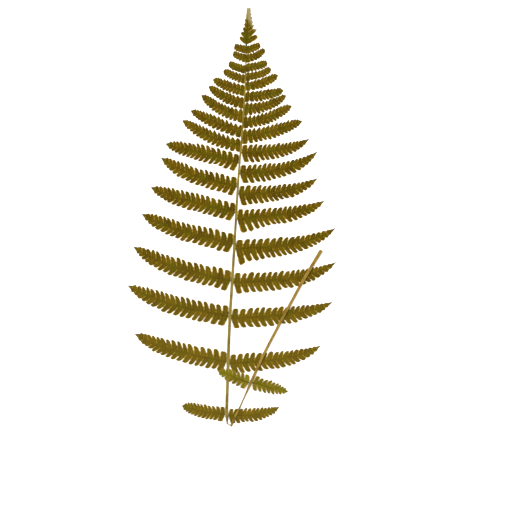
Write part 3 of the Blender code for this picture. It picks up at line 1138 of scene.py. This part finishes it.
    def end_grid(self, upper: bool, start: float) -> dict[str, np.ndarray]:
        """Half of the simple lobe beyond the last pinnules.

        Args:
            upper: Whether the side towards the frond's tip is meant.
            start: Share of the costa at which the lobe starts.

        Returns:
            Arrays by row and column: "place", "leaf" and "spot".
        """
        shape, lobe = self.shapes[upper], self.lobe
        ahead = np.linspace(0.0, 1.0, lobe.columns)
        shares = start + (1 - start) * ahead
        web = shape.web_foot + (shape.web_tip - shape.web_foot) * start ** shape.web_power
        wave = 1 - lobe.wave * np.sin(ahead * np.pi * lobe.waves) ** 2 * (1 - ahead)
        rows = np.linspace(0.0, 1.0, shape.web_rows + 1)[:, None]
        out = rows * (web * wave)[None]
        bent = out * (1 - shape.sweep_share) + shape.sweep_share * out ** 2
        bent = bent * (1 - ahead) ** lobe.lean_power
        place, outward = self.spread(np.broadcast_to(shares, out.shape), out, bent, upper)
        place[..., 2] = self.hung(place[..., 2] + self.thickness, outward, shape)
        edge = np.broadcast_to(rows * lobe.edge, out.shape)
        along = lobe.along_foot + lobe.along_more * ahead
        tone = sum(self.variety.tone) / 2
        leaf = np.stack(np.broadcast_arrays(along, edge, tone), -1)
        spot = np.stack(np.broadcast_arrays(outward + lobe.vein_run * ahead, edge, 0.0), -1)
        return {"place": place, "leaf": leaf.copy(), "spot": spot.copy()}

    def half_blade(self, stock: MeshStock, upper: bool) -> None:
        """Add the closed leaf sheet of one side: web, pinnules and half of the end lobe.

        Args:
            stock: Where the body goes.
            upper: Whether the side towards the frond's tip is meant.
        """
        draw = random.Random(self.seed * 2 + upper)
        bounds = self.bounds(draw)
        grid = self.grid(upper, bounds, draw)
        lobe = self.end_grid(upper, bounds[-1])
        web_rows = self.shapes[upper].web_rows
        last_column = len(self.shapes[upper].columns) - 1
        kept: dict[str, list[np.ndarray]] = {name: [] for name in grid}
        known: dict[tuple, int] = {}
        faces: list[tuple[int, ...]] = []

        def vertex(key: tuple, source: dict[str, np.ndarray], at: tuple[int, ...]) -> int:
            """Number of the vertex with that key, made if it is new.

            Args:
                key: What the vertex is known by.
                source: Arrays of places and shading numbers.
                at: Its index in those arrays.

            Returns:
                The number.
            """
            if key not in known:
                known[key] = len(kept["place"])
                for name, values in kept.items():
                    values.append(source[name][at])
            return known[key]

        def cover(index: np.ndarray) -> None:
            """Fill a grid of vertex numbers with faces that look up.

            Args:
                index: Vertex numbers by row and column.
            """
            for row in range(index.shape[0] - 1):
                for column in range(index.shape[1] - 1):
                    face = (index[row, column], index[row, column + 1],
                            index[row + 1, column + 1], index[row + 1, column])
                    face = tuple(int(corner) for corner in face)
                    faces.append(face if upper == (self.sign > 0) else face[::-1])

        count, rows = grid["place"].shape[:2]
        for number in range(count):
            index = np.empty((rows, last_column + 1), int)
            for row, column in np.ndindex(index.shape):
                key = (number, row, column)
                if row <= web_rows and column == last_column:
                    key = (number + 1, row, 0)
                index[row, column] = vertex(key, grid, (number, row, column))
            cover(index)
        columns = lobe["place"].shape[1]
        index = np.empty((web_rows + 1, columns), int)
        for row, column in np.ndindex(index.shape):
            index[row, column] = vertex((count, row, column), lobe, (row, column))
        cover(index)
        numbers = {name: np.array(kept[name]) for name in ("leaf", "spot")}
        sheet, closed, doubled = thicken(np.array(kept["place"]), faces, self.thickness, numbers)
        stock.add(sheet, closed, 0, **doubled)

    def ridge(self, stock: MeshStock) -> None:
        """Add the costa as a slim grooved ridge that starts inside the midrib's flank.

        Args:
            stock: Where the body goes.
        """
        shape, length = self.ridge_shape, self.costa.length
        rings = max(shape.fewest_rings, int(length / shape.ring_step))
        shares = np.linspace(-shape.inside / length, shape.end, rings)
        path = self.costa.points(shares)
        held = np.clip(shares, 0.0, 1.0)
        swell = 1 + shape.foot_swell * np.exp(-held * length / shape.swell_length)
        halves = self.costa_width * (1 - shape.taper * held) * swell
        path[:, 2] += self.thickness - shape.sink * held
        path[:, 2] = np.maximum(path[:, 2], halves + shape.clearance)
        sweep(stock, path, halves, shape.section, 1)

    def build(self, layout: Layout, finishes: list[bpy.types.Material]) -> bpy.types.Object:
        """Make the piece and let it stand for its solid.

        Args:
            layout: Where the frond lies.
            finishes: Blade and costa materials.

        Returns:
            The piece.
        """
        stock = MeshStock()
        self.half_blade(stock, True)
        self.half_blade(stock, False)
        self.ridge(stock)
        return settle(stock.piece(self.name + "_leaf", layout, finishes), self.name)


def settle(piece: bpy.types.Object, node: str) -> bpy.types.Object:
    """Let a piece stand for a solid and ride on the body.

    Args:
        piece: The detailed piece, in place.
        node: Name of the solid that it stands for.

    Returns:
        The same piece.
    """
    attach(piece, BODY)
    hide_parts(node)
    low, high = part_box(node)
    corners = np.array([piece.matrix_world @ v.co for v in piece.data.vertices])
    past = max((np.array(low) - corners.min(0)).max(), (corners.max(0) - np.array(high)).max())
    faces = len(piece.data.polygons)
    LOG.info("%s: %d faces, %.1f mm past its solid", piece.name, faces, past / MM)
    return piece


# ---------------------------------------------------------------- sub-assemblies


@dataclass
class PinnaRows:
    """All pinnae on one side of the midrib."""

    layout: Layout
    side: Side
    blunt_reach: float = 60.0      # shorter pinnae end bluntly
    blunt_above: float = 100.0     # but only near the tip
    long_reach: float = 100.0
    # Half width in millimetres and how much of it comes with each millimetre of reach
    long_width: tuple[float, float] = (4.6, 0.050)
    short_width: tuple[float, float] = (3.4, 0.080)
    pitch: tuple[float, float] = (2.4, 0.043)
    # Joined part of the pinnules at the foot: of the longest, and what shorter ones have more
    web_long: float = 0.40
    web_more: float = 0.20
    web_more_blunt: float = 0.42
    basal_extra: float = 0.65      # how much longer the lower pinnules next to the midrib are
    basal_slight: float = 0.05
    long_basal_above: float = 160.0
    foot_gap: float = 0.2          # between the midrib and a long pinna's costa, mm
    blunt_foot: float = 0.85       # where a blunt one starts, in half widths of the midrib
    arch: float = 0.5              # of the longest, mm
    # Half width of the costa and share of it with pinnules: at no reach and what is gained
    costa_width: tuple[float, float] = (0.20, 0.22)
    last_bound: tuple[float, float] = (0.90, 0.05)
    blunt_curl: float = 2.0
    long_curl: float = 4.0

    @property
    def start_slope(self) -> float:
        """Share of its mean slope that a costa starts with."""
        return 0.36 if self.side is Side.RIGHT else 0.58

    def shapes(self, reach: float, blunt: bool) -> dict[bool, PinnuleShape]:
        """Pinnule shapes of the upper and the lower side of a pinna.

        Args:
            reach: How far it reaches from the midrib.
            blunt: Whether it is one of the short blunt ones near the tip.

        Returns:
            The shapes, by whether the side is the upper one.
        """
        more = self.web_more_blunt if blunt else self.web_more
        web = self.web_long + more * (1 - min(reach / self.long_reach, 1.0))
        if blunt:
            upper = PinnuleShape(web_rows=3, free_rows=6, slit=0.10, opening=0.26,
                                 opening_power=1.0, round_from=0.2, round_power=1.8,
                                 blunt_end=0.12, teeth=1.0, slant_foot=74.0, slant_tip=46.0,
                                 web_foot=web, foot_fade=0.12)
            lower = PinnuleShape(web_rows=3, free_rows=6, slit=0.10, opening=0.18,
                                 round_from=0.40, round_power=2.2, teeth=2.0, web_foot=web,
                                 foot_turn=36.0, foot_fade=0.12)
            return {True: upper, False: lower}
        upper = PinnuleShape(slit=0.09, opening=0.12, round_from=0.45, slant_foot=74.0,
                             slant_tip=54.0, web_foot=web)
        lower = PinnuleShape(slit=0.09, opening=0.08, opening_power=1.5, round_from=0.58,
                             round_power=2.4, blunt_end=0.24, slant_foot=70.0, slant_tip=52.0,
                             web_foot=web)
        return {True: upper, False: lower}

    def outlines(self, blunt: bool) -> dict[bool, Outline]:
        """Outlines of the upper and the lower side of a pinna.

        Args:
            blunt: Whether it is one of the short blunt ones near the tip.

        Returns:
            The outlines, by whether the side is the upper one.
        """
        if blunt:
            return {True: Outline(1.0, 0.05, 5.0), False: Outline(1.0, 0.08, 4.0)}
        if self.side is Side.RIGHT:
            return {True: Outline(1.0, 0.10, 3.6, 1.0), False: Outline(1.08, 0.10, 4.0, 1.0)}
        return {True: Outline(1.08, 0.05, 6.5, 1.0), False: Outline(1.08, 0.08, 4.6, 1.0)}

    def pinna(self, number: int, row: tuple[float, float, float, float]) -> Pinna:
        """The pinna of one row.

        Args:
            number: Its number from the lowest, starting at 1.
            row: Height of its foot, x and y of its tip and its bow.

        Returns:
            The pinna, without its neighbours.
        """
        height, tip_x, tip_y, bow = row
        sign = self.side.sign
        middle, half = self.layout.midrib_at(height)
        reach = abs(tip_x - middle)
        blunt = reach < self.blunt_reach and height > self.blunt_above
        size = reach / self.long_reach
        long_basal = self.side is Side.RIGHT and height > self.long_basal_above
        offset = half * self.blunt_foot if blunt else half + self.foot_gap
        costa = Costa(
            foot=(middle + sign * offset, height, self.layout.costa_height(half)),
            tip=(tip_x, tip_y, 0.0),
            start_slope=self.start_slope,
            curl=self.blunt_curl if blunt else self.long_curl,
            bow=bow,
            arch=self.arch * size,
        )
        widths = [base + gain * reach for base, gain in (self.long_width, self.short_width)]
        return Pinna(
            name=f"pinna_{self.side.value}_{number:02d}",
            costa=costa,
            sign=sign,
            half_width=min(widths),
            pitch=self.pitch[0] + self.pitch[1] * reach,
            seed=number + self.side.seed,
            slot=Slot.LEAF_OLIVE,
            shapes=self.shapes(reach, blunt),
            outlines=self.outlines(blunt),
            basal_extra=self.basal_extra if long_basal else self.basal_slight,
            costa_width=self.costa_width[0] + self.costa_width[1] * size,
            last_bound=self.last_bound[0] + self.last_bound[1] * min(size, 1.0),
        )

    def build(self, finishes: list[bpy.types.Material]) -> None:
        """Make every pinna of the side.

        Args:
            finishes: Blade and costa materials.
        """
        rows = self.layout.right_rows if self.side is Side.RIGHT else self.layout.left_rows
        pinnae = [self.pinna(number, row) for number, row in enumerate(rows, start=1)]
        for lower, upper in zip(pinnae, pinnae[1:]):
            lower.above, upper.below = upper, lower
        for pinna in pinnae:
            pinna.build(self.layout, finishes)


@dataclass
class FoldedPair:
    """The lowest pair of pinnae, on the folded stalk and lying over the blade."""

    layout: Layout
    foot_y: float = 43.0
    foot_height: float = 3.3
    left_tip: Place = (-12.0, 54.0, 2.6)
    right_tip: Place = (60.0, 35.0, 0.2)
    half_width: float = 7.6
    pitch: float = 4.8
    clearance: float = 0.6         # between the stalk's side and a costa's foot, mm
    costa_width: float = 0.4
    seed: int = 300

    def build(self, finishes: list[bpy.types.Material]) -> None:
        """Make both pinnae.

        Args:
            finishes: Blade and costa materials.
        """
        path = smooth_path(self.layout.stalk, 3)
        stalk_x = np.interp(self.foot_y, path[:, 1], path[:, 0])
        stalk_half = np.interp(self.foot_y, path[:, 1], path[:, 3])
        offset = stalk_half + self.clearance
        shape = PinnuleShape(slit=0.09, opening=0.26, web_foot=0.36, web_tip=0.8)
        for side, tip in ((Side.LEFT, self.left_tip), (Side.RIGHT, self.right_tip)):
            foot = (stalk_x + side.sign * offset, self.foot_y, self.foot_height)
            Pinna(
                name=f"pinna_folded_{side.value}",
                costa=Costa(foot, tip),
                sign=side.sign,
                half_width=self.half_width,
                pitch=self.pitch,
                seed=self.seed + side.sign,
                slot=Slot.LEAF_GREEN,
                shapes={True: shape, False: shape},
                outlines={True: Outline(), False: Outline()},
                costa_width=self.costa_width,
            ).build(self.layout, finishes)


@dataclass
class FrondTip:
    """End of the frond, where the pinnae become simple lobes and run together."""

    layout: Layout
    pitch: float = 5.8
    # Spread at the foot, half width at the point and power of the curve between them
    left: tuple[float, float, float] = (6.5, 1.6, 2.2)
    right: tuple[float, float, float] = (9.5, 2.4, 1.6)
    start_slope: float = 0.6
    curl: float = 2.0
    costa_width: float = 0.6
    seed: int = 400

    def reach(self, shares: np.ndarray, upper: bool) -> np.ndarray:
        """Distance from the middle line to the lobes' ends.

        Args:
            shares: Shares of the way along the middle line.
            upper: Whether the left side is meant.

        Returns:
            The distances in millimetres.
        """
        spread, left_over, power = self.left if upper else self.right
        return left_over + spread * (1 - np.clip(shares, 0.0, 1.0)) ** power

    def build(self, finishes: list[bpy.types.Material]) -> None:
        """Make the tip.

        Args:
            finishes: Blade and costa materials.
        """
        half = self.layout.midrib_at(self.layout.tip_foot[1])[1]
        foot = (*self.layout.tip_foot, self.layout.costa_height(half))
        shape = PinnuleShape(free_rows=8, round_from=0.3, slit=0.06, opening=0.26,
                             slant_foot=54.0, slant_tip=38.0, foot_turn=12.0, web_foot=0.42,
                             web_tip=1.0, web_power=0.8)
        Pinna(
            name="frond_tip",
            costa=Costa(foot, (*self.layout.tip_point, 0.0), self.start_slope, self.curl),
            sign=1,
            half_width=self.right[0] + self.right[1],
            pitch=self.pitch,
            seed=self.seed,
            slot=Slot.LEAF_OLIVE,
            shapes={True: shape, False: shape},
            outlines={True: Outline(), False: Outline()},
            costa_width=self.costa_width,
            reach_law=self.reach,
        ).build(self.layout, finishes)


@dataclass(frozen=True)
class Tear:
    """Fibres that stick out of a broken end: places and sizes in millimetres."""

    start: Place                   # inside the stem that they come from
    end: Place                     # where they point to
    seed: int
    count: int = 7
    rings: int = 7
    half_width: float = 0.14
    taper: float = 0.75            # share of the width lost at the end
    length: tuple[float, float] = (0.55, 1.0)
    bow_x: tuple[float, float] = (-0.5, 0.5)
    bow_y: tuple[float, float] = (-0.7, 0.5)
    bow_z: tuple[float, float] = (0.0, 0.5)
    bow_reach: float = 0.8
    root_x: tuple[float, float] = (-0.3, 0.3)
    root_z: tuple[float, float] = (-0.25, 0.25)
    lowest: float = 0.15


@dataclass
class Stems:
    """The midrib and the folded stalk, with the torn fibres of the break between them."""

    layout: Layout
    step: float = 1.6              # distance between rings, mm
    curve_steps: int = 6
    knot_swell: float = 0.16       # extra width where a pinna joins
    knot_length: float = 1.6
    lift: float = 1.05             # height of the midrib's middle over its half thickness
    midrib_tear: Tear = Tear((0.1, 1.8, 0.6), (3.0, -0.9, 1.2), 11)
    stalk_tear: Tear = Tear((4.4, 0.6, 1.6), (1.2, -0.6, 0.5), 12)

    def resample(self, path: np.ndarray) -> np.ndarray:
        """The path with its points a step apart.

        Args:
            path: Rows of a place and any other numbers.

        Returns:
            The new rows.
        """
        lengths = np.r_[0.0, np.cumsum(np.linalg.norm(np.diff(path[:, :3], axis=0), axis=1))]
        wanted = np.linspace(0.0, lengths[-1], int(lengths[-1] / self.step))
        return np.stack([np.interp(wanted, lengths, column) for column in path.T], 1)

    def swell(self, heights: np.ndarray, feet: list[float]) -> np.ndarray:
        """Factor on the width: larger at the height of each foot.

        Args:
            heights: Heights of the path's points.
            feet: Heights at which pinnae join.

        Returns:
            The factors.
        """
        near = [np.exp(-((heights - foot) / self.knot_length) ** 2) for foot in feet]
        return 1 + self.knot_swell * np.clip(np.sum(near, axis=0), 0.0, 1.0)

    def fibres(self, stock: MeshStock, tear: Tear) -> None:
        """Add the torn fibres that run from one broken end towards the other.

        Args:
            stock: Where the bodies go.
            tear: Their places and sizes.
        """
        draw = random.Random(tear.seed)
        start, end = np.array(tear.start), np.array(tear.end)
        section = StemSection(corners=6, groove_depth=0.0, ribs=2)
        for _ in range(tear.count):
            shares = np.linspace(0.0, draw.uniform(*tear.length), tear.rings)[:, None]
            bow = np.array([draw.uniform(*tear.bow_x), draw.uniform(*tear.bow_y),
                            draw.uniform(*tear.bow_z)])
            root = np.array([draw.uniform(*tear.root_x), 0.0, draw.uniform(*tear.root_z)])
            path = start + root + (end - start) * shares
            path = path + bow * np.sin(np.pi * shares * tear.bow_reach)
            path[:, 2] = np.maximum(path[:, 2], tear.lowest)
            halves = tear.half_width * (1 - tear.taper * shares[:, 0])
            sweep(stock, path, halves, section, 0)

    def midrib(self, finishes: list[bpy.types.Material]) -> None:
        """Make the midrib.

        Args:
            finishes: Its material.
        """
        path = self.layout.midrib_path(self.curve_steps)
        path = self.resample(np.stack([path[:, 0], path[:, 1], 0 * path[:, 0], path[:, 2]], 1))
        feet = [row[0] for row in self.layout.left_rows + self.layout.right_rows]
        halves = path[:, 3] * self.swell(path[:, 1], feet)
        line = path[:, :3].copy()
        line[:, 2] = halves * self.layout.flatness * self.lift
        stock = MeshStock()
        sweep(stock, line, halves, StemSection(), 0)
        self.fibres(stock, self.midrib_tear)
        piece = stock.piece("midrib_stem", self.layout, finishes)
        settle(piece, "midrib")

    def stalk(self, finishes: list[bpy.types.Material], pair_foot: float) -> None:
        """Make the folded stalk.

        Args:
            finishes: Materials of its sides and its cut face.
            pair_foot: Height at which its pair of pinnae joins.
        """
        path = self.resample(smooth_path(self.layout.stalk, self.curve_steps))
        halves = path[:, 3] * self.swell(path[:, 1], [pair_foot])
        line = path[:, :3].copy()
        line[:, 2] += path[:, 3] * self.layout.stalk_flatness
        stock = MeshStock()
        section = StemSection(flatness=self.layout.stalk_flatness, groove_depth=0.2, ribs=9,
                              rib_height=0.045)
        sweep(stock, line, halves, section, 0, 1)
        self.fibres(stock, self.stalk_tear)
        piece = stock.piece("folded_stalk_stem", self.layout, finishes)
        settle(piece, "folded_stalk")


@dataclass(frozen=True)
class Lamp:
    """A square soft light aimed at the middle of the frond."""

    name: str
    place: Place                   # metres
    size: float                    # length of its side, metres
    power: float                   # watts


@dataclass
class Studio:
    """Pale floor, soft light and a camera that looks straight down."""

    layout: Layout
    view_width: float = 0.512
    aim: Place = (22.2, 169.5, 0.0)        # from the midrib's foot, mm
    lean: float = math.radians(2.31)
    lens: float = 85.0
    sensor: float = 36.0
    floor_size: float = 12.0
    surroundings: float = 0.56     # strength of the light from all around
    lamps: tuple[Lamp, ...] = (
        Lamp("key", (-0.45, 0.5, 2.2), 0.9, 60.0), Lamp("fill", (1.4, -0.9, 1.6), 1.6, 5.0),
    )

    def floor(self) -> None:
        """Make the floor, a plain square."""
        half = self.floor_size / 2
        mesh = bpy.data.meshes.new("floor")
        corners = [(-half, -half, 0.0), (half, -half, 0.0), (half, half, 0.0), (-half, half, 0.0)]
        mesh.from_pydata(corners, [], [(0, 1, 2, 3)])
        mesh.materials.append(FloorFinish().material())
        floor = bpy.data.objects.new("floor", mesh)
        bpy.context.scene.collection.objects.link(floor)

    def hang(self, lamp: Lamp) -> None:
        """Add one lamp to the scene.

        Args:
            lamp: Its place, size and power.
        """
        light = bpy.data.lights.new(lamp.name, "AREA")
        light.shape, light.size, light.energy = "SQUARE", lamp.size, lamp.power
        hung = bpy.data.objects.new(lamp.name, light)
        hung.location = lamp.place
        towards = -hung.location
        hung.rotation_euler = towards.to_track_quat("-Z", "Y").to_euler()
        bpy.context.scene.collection.objects.link(hung)

    def light(self) -> None:
        """Even pale surroundings with a large soft light nearly overhead."""
        world = bpy.data.worlds.new("studio")
        world.use_nodes = True
        back = world.node_tree.nodes["Background"]
        back.inputs["Color"].default_value = (1.0, 1.0, 1.0, 1.0)
        back.inputs["Strength"].default_value = self.surroundings
        bpy.context.scene.world = world
        for lamp in self.lamps:
            self.hang(lamp)
        bpy.context.scene.view_settings.view_transform = "Standard"

    def camera(self) -> None:
        """Camera straight above the aim, turned so that the frond leans a little."""
        data = bpy.data.cameras.new("camera")
        data.lens, data.sensor_width = self.lens, self.sensor
        camera = bpy.data.objects.new("camera", data)
        distance = self.view_width * self.lens / self.sensor
        aim = self.layout.place(np.array(self.aim))
        camera.location = (aim[0], aim[1], distance)
        camera.rotation_euler = (0.0, 0.0, self.lean)
        bpy.context.scene.collection.objects.link(camera)
        bpy.context.scene.camera = camera


@dataclass
class Finishes:
    """All materials of the frond, made for where its tip lies."""

    layout: Layout
    green_end: float = 0.075       # length of the midrib's end that is still green, m
    bleached_end: float = 0.012    # length of the tip that is bleached, m
    bleach_offset: float = 0.001   # how far left of the point its middle lies, m

    def __post_init__(self) -> None:
        """Write the materials."""
        tip = self.layout.place(np.array([*self.layout.tip_point, 0.0]))
        tip_x, tip_y = float(tip[0]), float(tip[1])
        self.straw = StemFinish(
            "midrib_dry_straw", base=(0.185, 0.134, 0.018), light=(0.285, 0.214, 0.044),
            dark=(0.112, 0.080, 0.008), fleck=(0.088, 0.048, 0.005),
            green_from=tip_y - self.green_end).material()
        self.ochre = StemFinish(
            "stalk_dry_ochre", base=(0.235, 0.140, 0.018), light=(0.330, 0.218, 0.048),
            dark=(0.168, 0.092, 0.011), fleck=(0.076, 0.034, 0.006)).material()
        self.rib = StemFinish(
            "costa_dry_olive", base=(0.075, 0.055, 0.002), light=(0.125, 0.094, 0.006),
            dark=(0.048, 0.040, 0.001), fleck=(0.050, 0.029, 0.001),
            fleck_share=0.4).material()
        self.olive = LeafFinish("leaf_dry_olive").material()
        self.tip = LeafFinish(
            "leaf_bleached_tip", bleach_from=tip_y - self.bleached_end,
            bleach_side=tip_x - self.bleach_offset).material()
        self.green = LeafFinish(
            "leaf_dry_green", dark=(0.066, 0.056, 0.0006), gold=(0.150, 0.130, 0.006),
            green=(0.078, 0.100, 0.001), green_share=0.9).material()
        self.cut = CutFinish("stalk_cut_face").material()


def main() -> None:
    """Build and dress the frond, then light it."""
    logging.basicConfig(level=logging.INFO, format="%(message)s")
    layout = Layout()
    finishes = Finishes(layout)
    for side in Side:
        PinnaRows(layout, side).build([finishes.olive, finishes.rib])
    pair = FoldedPair(layout)
    pair.build([finishes.green, finishes.rib])
    FrondTip(layout).build([finishes.tip, finishes.straw])
    stems = Stems(layout)
    stems.midrib([finishes.straw])
    stems.stalk([finishes.ochre, finishes.cut], pair.foot_y)
    studio = Studio(layout)
    studio.floor()
    studio.light()
    studio.camera()


if __name__ == "__main__":
    main()
